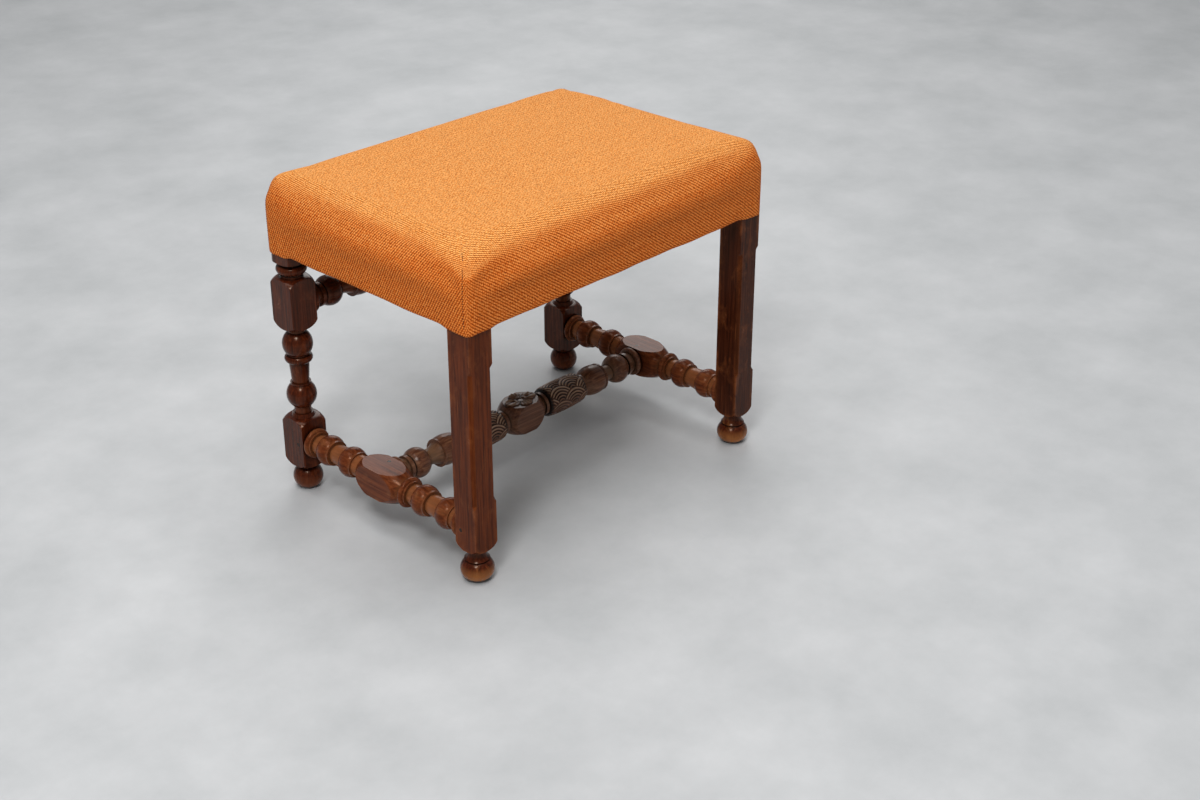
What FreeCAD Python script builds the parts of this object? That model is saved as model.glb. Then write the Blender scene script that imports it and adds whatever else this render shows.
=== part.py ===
import FreeCAD, Part
import os
import re
import Sketcher

# Upholstered stool with two turned front legs, two chamfered back posts on ball feet and an H stretcher.
# +Z is up, the floor is z = 0, +X runs along the long side and the turned legs stand at -Y, the front.
# Left and right are those of someone who faces the front, so left is -X.

doc = FreeCAD.newDocument("UpholsteredStool")
sheet = doc.addObject("Spreadsheet::Sheet", "Sizes")

SIZES = (
    ("span_x", 500, "leg centre to leg centre along the long side"),
    ("span_y", 340, "leg centre to leg centre, front to back"),
    ("leg_top", 420, "height of leg tops and rail tops"),
    ("leg_stock", 41, "square stock of the turned front legs"),
    ("post_stock", 37, "square stock of the back posts"),
    ("rod_stock", 42, "square stock of the turned stretchers"),
    ("head_stock", "=max(leg_stock; post_stock)", "thicker of the two leg stocks, which the cover clears"),
    ("stock_clear", 1.48, "turning radius that clears the corners, per half stock"),
    ("stretcher_z", 74, "height of the side and centre stretcher axes"),
    ("front_rod_z", 274.5, "height of the front stretcher axis"),
    ("cross_y", -7, "place of the centre stretcher, front to back"),
    ("tenon_r", 9, "radius of the stretchers' round tenons"),
    ("tenon_len", 20, "length of the stretchers' round tenons"),
    ("joint_gap", 0.2, "clearance round a tenon and beyond its end"),
    ("peg_r", 2.6, "radius of the wooden pegs"),
    ("peg_gap", 0.1, "clearance round a peg"),
    ("cross_peg_len", 32, "length of the pegs in the stretcher blocks"),
    ("leg_peg_len", 26, "length of the pegs in the legs"),
    ("neck_r", 11.5, "slim necks of the legs"),
    ("sole_r", 12, "flat sole of the bun feet"),
    ("bun_len", 31, "height of the bun feet"),
    ("ankle_len", 5, "neck above the bun feet"),
    ("ankle_r", 13.5, "radius of that neck"),
    ("low_shoulder", 13, "turned shoulder of the lower leg block"),
    ("low_block", 48, "square length of the lower leg block"),
    ("ring_len", 5, "narrow rings"),
    ("ring_r", 16, "radius of narrow rings"),
    ("shank_len", 10, "slim neck between ring and ball"),
    ("leg_ball_len", 33, "lower ball of the legs"),
    ("fillet_len", 2.5, "square fillets beside balls and rings"),
    ("fillet_r", 15, "radius of those fillets on the legs"),
    ("taper_len", 31, "tapered shaft of the legs"),
    ("taper_r", 14, "thick end of the tapered shaft"),
    ("collar_len", 9, "collar over the tapered shaft"),
    ("collar_r", 19, "radius of that collar"),
    ("knob_len", 31, "upper ball of the legs"),
    ("throat_len", 6, "slim neck under the upper block"),
    ("up_shoulder", 15, "turned shoulder of the upper leg block"),
    ("up_block", 44, "square length of the upper leg block"),
    ("torus_len", 12.5, "thick ring over the upper block"),
    ("head_shoulder", 5, "turned shoulder under the leg head"),
    ("flange_len", 8, "flanges where stretchers meet their blocks"),
    ("rod_neck_r", 14, "necks of the stretchers"),
    ("rod_neck_len", 11, "short necks of the side stretchers"),
    ("rod_ball_len", 22, "balls of the side stretchers"),
    ("fillet_step", 3.5, "fillets of the stretchers, below the stock's face"),
    ("rod_fillet_r", "=rod_stock/2-fillet_step", "radius of those fillets"),
    ("rod_fillet_len", 3, "length of those fillets"),
    ("waist_r", 13.5, "thin end of the side stretchers' waists"),
    ("waist_len", 21, "waists of the side stretchers"),
    ("waist_swell", 15.5, "thick end of the waists"),
    ("cone_len", 9, "cone between last ball and block or post"),
    ("arris_len", 4, "square edge left on the stretcher blocks"),
    ("cross_neck_len", 8, "neck beside the centre stretcher's flange"),
    ("cross_ball_len", 28, "ball of the centre stretcher"),
    ("trumpet_len", 20, "trumpet neck of the centre stretcher"),
    ("trumpet_r", 11, "thin end of the trumpet"),
    ("trumpet_bell_r", 16, "thick end of the trumpet"),
    ("bell_len", 34, "bell of the centre stretcher"),
    ("bell_r", 15.5, "small end of the bell"),
    ("middle_shoulder", 31, "turned shoulders of the long stretchers' middle block"),
    ("barrel_end_r", 19, "ends of those barrels"),
    ("bead_swell", 2, "round of rings and flanges"),
    ("cove_dip", 1, "hollow of necks and tapers"),
    ("chamfer_low", 112, "lower stop of the posts' chamfers"),
    ("chamfer_stop", 118, "upper stop of the chamfers, from the top of the post"),
    ("chamfer_deep", 3, "depth of the chamfers across the post's diagonal"),
    ("chamfer_ramp", 5, "slope at each end of a chamfer"),
    ("head_round", 12, "outer corner of the leg heads, rounded under the cover"),
    ("post_foot_z", 44, "underside of the back posts"),
    ("post_shoulder", 16, "turned shoulder at the foot of the posts"),
    ("post_neck_r", 13, "post radius where the ball foot joins"),
    ("foot_r", 21.8, "radius of the ball feet"),
    ("foot_sole_r", 9, "flat sole of the ball feet"),
    ("foot_ball_len", 28, "height of the ball up to its groove"),
    ("foot_groove_r", 15.5, "groove over the ball"),
    ("foot_ring_r", 16.5, "ring over the groove"),
    ("foot_tenon_r", 8, "round tenon of the ball feet"),
    ("foot_tenon_len", 17, "length of that tenon"),
    ("rail_t", 22, "thickness of the seat rails"),
    ("rail_h", 64, "height of the seat rails"),
    ("rail_low", "=leg_top-rail_h", "underside of the seat rails"),
    ("rail_tenon_t", 8, "thickness of the rail tenons"),
    ("rail_tenon_len", 20, "length of the rail tenons"),
    ("rail_tenon_edge", 9, "rail shoulder above and below its tenon"),
    ("web_w", 50, "width of the webbing straps"),
    ("web_t", 1.5, "thickness of the webbing straps"),
    ("web_pitch_y", 95, "spacing of the long straps"),
    ("web_pitch_x", 98, "spacing of the cross straps"),
    ("web_inset", 4, "strap ends from the outer face of the rails"),
    ("hessian_t", 1, "thickness of the hessian base"),
    ("hessian_inset", 6, "hessian edge from the outer face of the rails"),
    ("soft_gap", 0.3, "room between soft layers"),
    ("cover_t", 2, "thickness of the woven cover"),
    ("hem_z", "=rail_low-2", "lower edge of the cover"),
    ("hem_turn", 12, "cover turned in under the rails"),
    ("seat_rise", 23, "seat sides above the rails"),
    ("seat_edge", "=leg_top+seat_rise", "height where the seat crown meets its sides"),
    ("seat_crown", 6, "rise of the seat's crown over its edges"),
    ("side_swell", 3, "outward swell of the seat sides"),
    ("edge_round", 18, "radius of the seat's upper edges"),
    ("corner_round", 12, "radius of the seat's upright corners"),
)
for row, (alias, value, note) in enumerate(SIZES, 1):
    sheet.set(f"A{row}", note)
    sheet.set(f"B{row}", str(value))
    sheet.setAlias(f"B{row}", alias)
doc.recompute()

pieces = []


def bound(text):
    return re.sub(r"[a-z][a-z_]+", lambda word: "Sizes." + word.group(), text)


def size(text):
    return float(sheet.evalExpression(bound(text)))


def tie(item, prop, text):
    item.setExpression(prop, bound(text))


def place(item, x, y, z, rotation=None):
    if rotation:
        item.Placement = FreeCAD.Placement(FreeCAD.Vector(), rotation)
    for letter, text in zip("xyz", (x, y, z)):
        tie(item, "Placement.Base." + letter, text)


def piece(item, label):
    item.Label = label
    pieces.append(item)
    return item


UPRIGHT = FreeCAD.Rotation(FreeCAD.Vector(0, 1, 0), -90)
BACKWARD = FreeCAD.Rotation(FreeCAD.Vector(0, 0, 1), 90)
SIDES = (("left", "-"), ("right", ""))


# Sketches: outlines of lines and arcs, every corner tied to the sheet

def sketch_on(body, role, name):
    plane = [feature for feature in body.Origin.OriginFeatures if feature.Role == role][0]
    sketch = body.newObject("Sketcher::SketchObject", name)
    sketch.AttachmentSupport = (plane, [""])
    sketch.MapMode = "FlatFace"
    return sketch


def trace(sketch, corners):
    """Closed outline through (x, y, bulge) corners; bulge is the rise of an arc to the left of travel."""
    spots = [FreeCAD.Vector(size(x), size(y), 0) for x, y, bulge in corners]
    rules = []
    ties = []
    ends = []
    for index, (x, y, bulge) in enumerate(corners):
        start, stop = spots[index], spots[(index + 1) % len(spots)]
        rise = size(bulge) if bulge else 0
        if rise:
            chord = stop - start
            side = FreeCAD.Vector(-chord.y, chord.x, 0).normalize()
            middle = (start + stop) * 0.5 + side * rise
            run = (start, middle, stop) if rise < 0 else (stop, middle, start)
            geo = sketch.addGeometry(Part.Arc(*run), False)
            ends.append((geo, 1, 2) if rise < 0 else (geo, 2, 1))
            next_x, next_y, _ = corners[(index + 1) % len(corners)]
            square = f"(({next_x})-({x}))^2+(({next_y})-({y}))^2"
            arch = f"({bulge})" if rise > 0 else f"(0-({bulge}))"
            ties.append((len(rules), f"({square})/(8*{arch})+{arch}/2"))
            rules.append(Sketcher.Constraint("Radius", geo, size(ties[-1][1])))
        else:
            geo = sketch.addGeometry(Part.LineSegment(start, stop), False)
            ends.append((geo, 1, 2))
    for index, (x, y, bulge) in enumerate(corners):
        geo, first, last = ends[index]
        next_geo, next_first, _ = ends[(index + 1) % len(ends)]
        rules.append(Sketcher.Constraint("Coincident", geo, last, next_geo, next_first))
        for kind, text in (("DistanceX", x), ("DistanceY", y)):
            ties.append((len(rules), text))
            rules.append(Sketcher.Constraint(kind, -1, 1, geo, first, size(text)))
    offset = sketch.ConstraintCount
    sketch.addConstraint(rules)
    for number, text in ties:
        tie(sketch, f"Constraints[{offset + number}]", text)


def square_stock(body, name, stock, length):
    half = f"({stock})/2"
    sketch = sketch_on(body, "YZ_Plane", name + "_stock")
    trace(sketch, [(f"0-{half}", f"0-{half}", None), (half, f"0-{half}", None),
                   (half, half, None), (f"0-{half}", half, None)])
    pad = body.newObject("PartDesign::Pad", name + "_square")
    pad.Profile = sketch
    tie(pad, "Length", length)
    return pad


def run_of(elements, start):
    """Corners of a turned run: (length, first radius, last radius, swell) elements laid end to end."""
    corners = []
    at = start
    for length, first, last, swell in elements:
        corners.append((at, first, f"({swell})" if swell else None))
        at = f"{at}+({length})"
        corners.append((at, last, None))
    return corners


def ball(length, first, last, radius):
    return length, first, last, f"({radius})-(({first})+({last}))/2"


def turn_between_blocks(body, name, stock, runs):
    """Cuts turned runs into square stock; each run is (start, elements) and leaves the blocks square."""
    clear = f"({stock})/2*stock_clear"
    sketch = sketch_on(body, "XY_Plane", name + "_turning")
    for start, elements in runs:
        corners = run_of(elements, start)
        over = [(corners[-1][0], clear, None), (corners[0][0], clear, None)]
        trace(sketch, distinct(corners + over))
    groove = body.newObject("PartDesign::Groove", name + "_turned")
    groove.Profile = sketch
    groove.ReferenceAxis = (sketch, ["H_Axis"])
    groove.Angle = 360
    return groove


def distinct(corners):
    """Drops a corner that repeats its neighbour and keeps the arc that leaves from there."""
    def apart(one, other):
        return abs(size(one[0]) - size(other[0])) + abs(size(one[1]) - size(other[1])) > 1e-6
    kept = []
    for corner in corners:
        if kept and not apart(corner, kept[-1]):
            kept.pop()
        kept.append(corner)
    if not apart(kept[-1], kept[0]):
        kept.pop()
    return kept


def box(name, low, high):
    item = doc.addObject("Part::Box", name)
    for prop, start, stop in zip(("Length", "Width", "Height"), low, high):
        tie(item, prop, f"({stop})-({start})")
    place(item, *low)
    return item


def rod(name, at, radius, length, rotation=None):
    item = doc.addObject("Part::Cylinder", name)
    tie(item, "Radius", radius)
    tie(item, "Height", length)
    place(item, *at, rotation=rotation)
    return item


def joined(name, items):
    fuse = doc.addObject("Part::MultiFuse", name)
    fuse.Shapes = items
    return fuse


def group(name, items):
    compound = doc.addObject("Part::Compound", name)
    compound.Links = items
    return compound


def cut(name, base, tools):
    result = doc.addObject("Part::Cut", name)
    result.Base = base
    result.Tool = tools[0] if len(tools) == 1 else joined(name + "_cuts", tools)
    return result


TO_BACK = FreeCAD.Rotation(FreeCAD.Vector(1, 0, 0), -90)
TO_FRONT = FreeCAD.Rotation(FreeCAD.Vector(1, 0, 0), 90)
TO_RIGHT = FreeCAD.Rotation(FreeCAD.Vector(0, 1, 0), 90)
TO_LEFT = FreeCAD.Rotation(FreeCAD.Vector(0, 1, 0), -90)

front_y = "(0-span_y/2)"
back_y = "(span_y/2)"
front_face = f"({front_y}+leg_stock/2)"
back_face = f"({back_y}-post_stock/2)"
inner_x = "(span_x/2-leg_stock/2)"
inner_post_x = "(span_x/2-post_stock/2)"
block_face_x = "(span_x/2-rod_stock/2)"
rail_out_x = "(span_x/2+post_stock/2)"
rail_front_y = f"({front_y}-leg_stock/2)"
rail_back_y = f"({back_y}+post_stock/2)"
mortise_r = "tenon_r+joint_gap"
mortise_len = "tenon_len+joint_gap"
front_peg_y = f"({front_face}-tenon_len/2)"
back_peg_y = f"({back_face}+tenon_len/2)"


# Pegs and rail tenons, placed once so that holes and pegs share their axes

def leg_peg(name, sign, stock, y, grown):
    """Peg driven from a leg's outer face through the side stretcher's tenon."""
    inward = TO_LEFT if sign == "" else TO_RIGHT
    face = f"({sign}1)*(span_x/2+({stock})/2)"
    return rod(name, (face, y, "stretcher_z"), f"peg_r+{grown}", "leg_peg_len", inward)


def front_peg(name, sign, grown):
    """Peg driven from the front through a leg block and the front stretcher's tenon."""
    x = f"({sign}1)*({inner_x}+tenon_len/2)"
    return rod(name, (x, rail_front_y, "front_rod_z"), f"peg_r+{grown}", "leg_peg_len", TO_BACK)


def rail_mortise(name, sign, y, from_face, side):
    """Slot in a leg head for a rail tenon: along X for the long rails, along Y for the short ones."""
    grown = "joint_gap"
    low, high = f"rail_low+rail_tenon_edge-{grown}", f"leg_top-rail_tenon_edge+{grown}"
    if side == "long":
        start = f"({sign}1)*({from_face})"
        reach = f"(rail_tenon_len+{grown})"
        near, far = (start, f"{start}+{reach}") if sign == "" else (f"{start}-{reach}", start)
        return box(name, (near, f"{y}-rail_tenon_t/2-{grown}", low),
                   (far, f"{y}+rail_tenon_t/2+{grown}", high))
    middle = f"({sign}1)*({rail_out_x}-rail_t/2)"
    reach = f"(rail_tenon_len+{grown})"
    near, far = (f"{from_face}-{reach}", from_face) if y == "front" else (from_face, f"{from_face}+{reach}")
    return box(name, (f"{middle}-rail_tenon_t/2-{grown}", near, low),
               (f"{middle}+rail_tenon_t/2+{grown}", far, high))


def head_corner(name, sign, end, stock, y, low):
    """Waste outside the rounded outer corner of a leg head."""
    out = "-" if end == "front" else ""
    middle = [f"(({sign}1)*(span_x/2+{stock}/2-head_round))", f"({y}+({out}1)*({stock}/2-head_round))"]
    spans = []
    for at, way in zip(middle, (sign, out)):
        far = f"{at}+({way}1)*(head_round+joint_gap)"
        spans.append((at, far) if way == "" else (far, at))
    top = "leg_top+joint_gap"
    waste = box(name + "_corner", (spans[0][0], spans[1][0], low), (spans[0][1], spans[1][1], top))
    kept = rod(name + "_corner_round", (*middle, low), "head_round", f"{top}-({low})")
    return cut(name + "_corner_waste", waste, [kept])


# Front legs: turned from square stock, with the pummel blocks left square where the rails join

LEG_FOOT = [
    ball("bun_len", "sole_r", "ankle_r", "leg_stock/2"),
    ("ankle_len", "ankle_r-cove_dip", "ankle_r-cove_dip", None),
    ("low_shoulder", "ankle_r", "leg_stock/2*stock_clear", "bead_swell*2"),
]
LEG_SHAFT = [
    ("low_shoulder", "leg_stock/2*stock_clear", "ring_r-bead_swell", "bead_swell*2"),
    ("ring_len", "ring_r", "ring_r-bead_swell", None),
    ("shank_len", "neck_r", "neck_r", None),
    ball("leg_ball_len", "neck_r+cove_dip", "neck_r+cove_dip", "leg_stock/2"),
    ("fillet_len", "taper_r", "taper_r", None),
    ("taper_len", "neck_r", "taper_r", None),
    ("collar_len", "collar_r-bead_swell", "collar_r-bead_swell", "bead_swell"),
    ("fillet_len", "fillet_r", "fillet_r", None),
    ball("knob_len", "fillet_r+cove_dip", "neck_r+cove_dip", "leg_stock/2"),
    ("throat_len", "neck_r", "neck_r", None),
    ("up_shoulder", "neck_r+cove_dip", "leg_stock/2*stock_clear", "bead_swell*2"),
]
LEG_HEAD = [
    ("up_shoulder", "leg_stock/2*stock_clear", "fillet_r+cove_dip", "bead_swell*2"),
    ("fillet_len", "fillet_r", "fillet_r", None),
    ("fillet_len", "fillet_r-cove_dip", "fillet_r-cove_dip", None),
    ball("torus_len", "fillet_r+cove_dip", "fillet_r+cove_dip", "leg_stock/2"),
    ("fillet_len", "fillet_r", "fillet_r", None),
    ("head_shoulder", "fillet_r+cove_dip", "leg_stock/2*stock_clear", None),
]


def total(elements):
    return "+".join(f"({element[0]})" for element in elements)


def front_leg(side, sign):
    name = "front_leg_" + side
    x = f"({sign}1)*span_x/2"
    inward = TO_LEFT if sign == "" else TO_RIGHT
    body = doc.addObject("PartDesign::Body", name + "_turned")
    square_stock(body, name, "leg_stock", "leg_top")
    shaft_start = f"{total(LEG_FOOT)}+low_block"
    head_start = f"{shaft_start}+{total(LEG_SHAFT)}+up_block"
    runs = [("0", LEG_FOOT), (shaft_start, LEG_SHAFT), (head_start, LEG_HEAD)]
    turn_between_blocks(body, name, "leg_stock", runs)
    place(body, x, front_y, "0", UPRIGHT)
    tools = [
        rod(name + "_side_mortise", (x, front_face, "stretcher_z"), mortise_r, mortise_len, TO_FRONT),
        rod(name + "_front_mortise", (f"({sign}1)*({inner_x}+{mortise_len})", front_y, "front_rod_z"),
            mortise_r, mortise_len, inward),
        rail_mortise(name + "_long_slot", sign, f"({rail_front_y}+rail_t/2)", inner_x, "long"),
        rail_mortise(name + "_short_slot", sign, "front", front_face, "short"),
        leg_peg(name + "_peg_hole", sign, "leg_stock", front_peg_y, "peg_gap"),
        front_peg(name + "_front_peg_hole", sign, "peg_gap"),
        head_corner(name, sign, "front", "leg_stock", front_y, f"{head_start}+{total(LEG_HEAD[:-1])}"),
    ]
    return piece(cut(name, body, tools), name)


for side, sign in SIDES:
    front_leg(side, sign)


# Back posts: plain square stock with stopped chamfers and a turned shoulder over the ball foot

POST_FOOT = [("post_shoulder", "post_neck_r", "post_stock/2*stock_clear", "bead_swell*2")]
BACK_CORNERS = [FreeCAD.Rotation(FreeCAD.Vector(0, 0, 1), angle) for angle in (45, 135)]


def post_chamfers(name, x):
    """Two wedges that take the stopped chamfers off the back corners; each end slopes out."""
    flat = "(post_stock/2*2^0.5-chamfer_deep)"
    beyond = "(post_stock/2*2^0.5+chamfer_deep)"
    high = "(leg_top-chamfer_stop)"
    wedges = []
    for index, turn in enumerate(BACK_CORNERS, 1):
        wedge = doc.addObject("PartDesign::Body", f"{name}_chamfer_{index}")
        sketch = sketch_on(wedge, "XZ_Plane", f"{name}_chamfer_{index}_side")
        trace(sketch, [(flat, "chamfer_low+chamfer_ramp", None), (beyond, "chamfer_low-chamfer_ramp", None),
                       (beyond, f"{high}+chamfer_ramp", None), (flat, f"{high}-chamfer_ramp", None)])
        pad = wedge.newObject("PartDesign::Pad", f"{name}_chamfer_{index}_run")
        pad.Profile = sketch
        pad.Midplane = True
        tie(pad, "Length", "post_stock")
        place(wedge, x, back_y, "0", turn)
        wedges.append(wedge)
    return wedges


def back_post(side, sign):
    name = "back_leg_" + side
    x = f"({sign}1)*span_x/2"
    body = doc.addObject("PartDesign::Body", name + "_square_post")
    square_stock(body, name, "post_stock", "leg_top-post_foot_z")
    turn_between_blocks(body, name, "post_stock", [("0", POST_FOOT)])
    place(body, x, back_y, "post_foot_z", UPRIGHT)
    tools = post_chamfers(name, x) + [
        rod(name + "_side_mortise", (x, back_face, "stretcher_z"), mortise_r, mortise_len, TO_BACK),
        rod(name + "_foot_mortise", (x, back_y, "post_foot_z"),
            "foot_tenon_r+joint_gap", "foot_tenon_len+joint_gap"),
        rail_mortise(name + "_long_slot", sign, f"({rail_back_y}-rail_t/2)", inner_post_x, "long"),
        rail_mortise(name + "_short_slot", sign, "back", back_face, "short"),
        leg_peg(name + "_peg_hole", sign, "post_stock", back_peg_y, "peg_gap"),
        head_corner(name, sign, "back", "post_stock", back_y, "rail_low"),
    ]
    return piece(cut(name, body, tools), name)


for side, sign in SIDES:
    back_post(side, sign)


# Ball feet: turned with a round tenon that stands in the underside of each back post

BALL_FOOT = [
    ball("foot_ball_len", "foot_sole_r", "foot_groove_r", "foot_r"),
    ("fillet_len", "foot_groove_r-cove_dip", "foot_groove_r-cove_dip", None),
    ("post_foot_z-foot_ball_len-fillet_len", "foot_ring_r", "post_neck_r", "0-bead_swell"),
    ("foot_tenon_len", "foot_tenon_r", "foot_tenon_r", None),
]


def turned_body(name, elements):
    """Round turning on its own: the profile closed along its axis and revolved."""
    body = doc.addObject("PartDesign::Body", name)
    sketch = sketch_on(body, "XY_Plane", name + "_profile")
    corners = run_of(elements, "0")
    axis = [(corners[-1][0], "0", None), ("0", "0", None)]
    trace(sketch, distinct(corners + axis))
    spin = body.newObject("PartDesign::Revolution", name + "_turned")
    spin.Profile = sketch
    spin.ReferenceAxis = (sketch, ["H_Axis"])
    spin.Angle = 360
    return body


for side, sign in SIDES:
    foot = turned_body("back_foot_" + side, BALL_FOOT)
    place(foot, f"({sign}1)*span_x/2", back_y, "0", UPRIGHT)
    piece(foot, "back_foot_" + side)


# Side stretchers: both halves turned alike, front to back, about a block that stays square

rod_clear = "rod_stock/2*stock_clear"
rod_tenon = ("tenon_len", "tenon_r", "tenon_r", None)
flange = ball("flange_len", "rod_fillet_r", "rod_fillet_r", "rod_stock/2")
rod_fillet = ("rod_fillet_len", "rod_fillet_r", "rod_fillet_r", None)
SIDE_HALF = [
    flange,
    rod_fillet,
    ("rod_neck_len", "rod_neck_r", "rod_neck_r+cove_dip", None),
    ball("rod_ball_len", "waist_swell", "rod_fillet_r", "rod_stock/2"),
    rod_fillet,
    ("waist_len", "waist_r", "waist_swell", None),
    ball("rod_ball_len", "waist_swell", "rod_fillet_r", "rod_stock/2"),
    rod_fillet,
    ("cone_len", "waist_swell", "rod_neck_r", None),
]
side_room = f"({back_face}-{front_face})"
block_middle = f"(cross_y-{front_face})"
front_shoulder = f"({block_middle}-arris_len/2-({total(SIDE_HALF)}))"
back_shoulder = f"({side_room}-{block_middle}-arris_len/2-({total(SIDE_HALF)})-flange_len)"
SIDE_FRONT = [rod_tenon] + SIDE_HALF + [(front_shoulder, "rod_neck_r", rod_clear, "bead_swell*2")]
SIDE_BACK = [(back_shoulder, rod_clear, "rod_neck_r", "bead_swell*2")] + SIDE_HALF + [flange, rod_tenon]


def side_stretcher(side, sign):
    name = "side_stretcher_" + side
    x = f"({sign}1)*span_x/2"
    outward = TO_RIGHT if sign == "" else TO_LEFT
    body = doc.addObject("PartDesign::Body", name + "_turned")
    square_stock(body, name, "rod_stock", f"{side_room}+2*tenon_len")
    runs = [("0", SIDE_FRONT), (f"{total(SIDE_FRONT)}+arris_len", SIDE_BACK)]
    turn_between_blocks(body, name, "rod_stock", runs)
    place(body, x, f"{front_face}-tenon_len", "stretcher_z", BACKWARD)
    tools = [
        rod(name + "_cross_mortise", (f"({sign}1)*{block_face_x}", "cross_y", "stretcher_z"),
            mortise_r, mortise_len, outward),
        cross_peg(name + "_cross_peg_hole", sign, "peg_gap"),
        leg_peg(name + "_front_peg_hole", sign, "leg_stock", front_peg_y, "peg_gap"),
        leg_peg(name + "_back_peg_hole", sign, "post_stock", back_peg_y, "peg_gap"),
    ]
    return piece(cut(name, body, tools), name)


def cross_peg(name, sign, grown):
    """Peg driven down through a side block and the centre stretcher's tenon."""
    top = "stretcher_z+rod_stock/2-cross_peg_len"
    return rod(name, (f"({sign}1)*({block_face_x}+tenon_len/2)", "cross_y", top), f"peg_r+{grown}",
               "cross_peg_len")


for side, sign in SIDES:
    side_stretcher(side, sign)


# Centre and front stretchers: turned alike on both sides of a square middle block

LONG_OUTER = [
    flange,
    ("cross_neck_len", "rod_neck_r", "rod_neck_r", None),
    ("ring_len", "ring_r+cove_dip", "ring_r+cove_dip", None),
    ("rod_fillet_len", "rod_neck_r", "rod_neck_r", None),
    ball("cross_ball_len", "ring_r", "trumpet_r+cove_dip", "rod_stock/2"),
    ("trumpet_len", "trumpet_r", "trumpet_bell_r", "0-cove_dip*1.5"),
    ("rod_fillet_len", "rod_stock/2-cove_dip", "rod_stock/2-cove_dip", None),
    ball("bell_len", "rod_fillet_r+bead_swell", "bell_r", "rod_stock/2"),
    ("ring_len", "ring_r", "ring_r", None),
    ("rod_fillet_len", "rod_neck_r", "rod_neck_r", None),
]
LONG_INNER = [
    ("rod_fillet_len", "rod_neck_r", "rod_neck_r", None),
    ("ring_len", "ring_r+cove_dip", "ring_r+cove_dip", None),
    ("rod_fillet_len", "rod_neck_r", "rod_neck_r", None),
    ("middle_shoulder", "rod_neck_r", rod_clear, "bead_swell*2"),
]


def mirrored(elements):
    return [(length, last, first, swell) for length, first, last, swell in reversed(elements)]


def long_stretcher(name, face_x, y, z, tools):
    """The barrels take the length that the other turnings leave between the block and the leg."""
    room = f"({face_x}-arris_len/2-({total(LONG_OUTER)})-({total(LONG_INNER)}))"
    barrel = ball(room, "barrel_end_r", "barrel_end_r", "rod_stock/2-cove_dip/4")
    first = [rod_tenon] + LONG_OUTER + [barrel] + LONG_INNER
    body = doc.addObject("PartDesign::Body", name + "_turned")
    square_stock(body, name, "rod_stock", f"2*{face_x}+2*tenon_len")
    runs = [("0", first), (f"{total(first)}+arris_len", mirrored(first))]
    turn_between_blocks(body, name, "rod_stock", runs)
    place(body, f"0-{face_x}-tenon_len", y, z)
    return piece(cut(name, body, tools), name)


long_stretcher("centre_stretcher", block_face_x, "cross_y", "stretcher_z",
               [cross_peg(f"centre_peg_hole_{side}", sign, "peg_gap") for side, sign in SIDES])
long_stretcher("front_stretcher", inner_x, front_y, "front_rod_z",
               [front_peg(f"front_peg_hole_{side}", sign, "peg_gap") for side, sign in SIDES])


# Pegs: each kind is one group of separate pins

piece(group("leg_pegs", [leg_peg(f"leg_peg_{side}_{end}", sign, stock, y, "0") for side, sign in SIDES
                         for end, stock, y in (("front", "leg_stock", front_peg_y),
                                               ("back", "post_stock", back_peg_y))]), "leg_pegs")
piece(group("cross_pegs", [cross_peg(f"cross_peg_{side}", sign, "0") for side, sign in SIDES]), "cross_pegs")
piece(group("front_pegs", [front_peg(f"front_peg_{side}", sign, "0") for side, sign in SIDES]), "front_pegs")


# Seat rails: flush with the legs outside, tenoned into the leg heads

tenon_low = "rail_low+rail_tenon_edge"
tenon_high = "leg_top-rail_tenon_edge"


def long_rail(name, low_y, face_x):
    middle = f"({low_y}+rail_t/2)"
    bar = box(name + "_bar", (f"0-{face_x}", low_y, "rail_low"), (face_x, f"{low_y}+rail_t", "leg_top"))
    reach = f"({face_x}+rail_tenon_len)"
    tenon = box(name + "_tenon", (f"0-{reach}", f"{middle}-rail_tenon_t/2", tenon_low),
                (reach, f"{middle}+rail_tenon_t/2", tenon_high))
    return piece(joined(name, [bar, tenon]), name)


def short_rail(name, sign):
    middle = f"({sign}1)*({rail_out_x}-rail_t/2)"
    bar = box(name + "_bar", (f"{middle}-rail_t/2", front_face, "rail_low"),
              (f"{middle}+rail_t/2", back_face, "leg_top"))
    tenon = box(name + "_tenon", (f"{middle}-rail_tenon_t/2", f"{front_face}-rail_tenon_len", tenon_low),
                (f"{middle}+rail_tenon_t/2", f"{back_face}+rail_tenon_len", tenon_high))
    return piece(joined(name, [bar, tenon]), name)


long_rail("seat_rail_front", rail_front_y, inner_x)
long_rail("seat_rail_back", f"({rail_back_y}-rail_t)", inner_post_x)
for side, sign in SIDES:
    short_rail("seat_rail_" + side, sign)


# Webbing: three long straps tacked over the short rails, four cross straps laid over them

for index, step in enumerate(("-1", "0", "1"), 1):
    middle = f"(({step})*web_pitch_y)"
    name = f"webbing_long_{index}"
    piece(box(name + "_strap", (f"0-{rail_out_x}+web_inset", f"{middle}-web_w/2", "leg_top"),
              (f"{rail_out_x}-web_inset", f"{middle}+web_w/2", "leg_top+web_t")), name)
for index, step in enumerate(("-1.5", "-0.5", "0.5", "1.5"), 1):
    middle = f"(({step})*web_pitch_x)"
    name = f"webbing_cross_{index}"
    piece(box(name + "_strap", (f"{middle}-web_w/2", f"{rail_front_y}+web_inset", "leg_top+web_t"),
              (f"{middle}+web_w/2", f"{rail_back_y}-web_inset", "leg_top+2*web_t")), name)

hessian_z = "(leg_top+2*web_t)"
piece(box("hessian_sheet", (f"0-{rail_out_x}+hessian_inset", f"{rail_front_y}+hessian_inset", hessian_z),
          (f"{rail_out_x}-hessian_inset", f"{rail_back_y}-hessian_inset", f"{hessian_z}+hessian_t")),
      "base_hessian")


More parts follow.
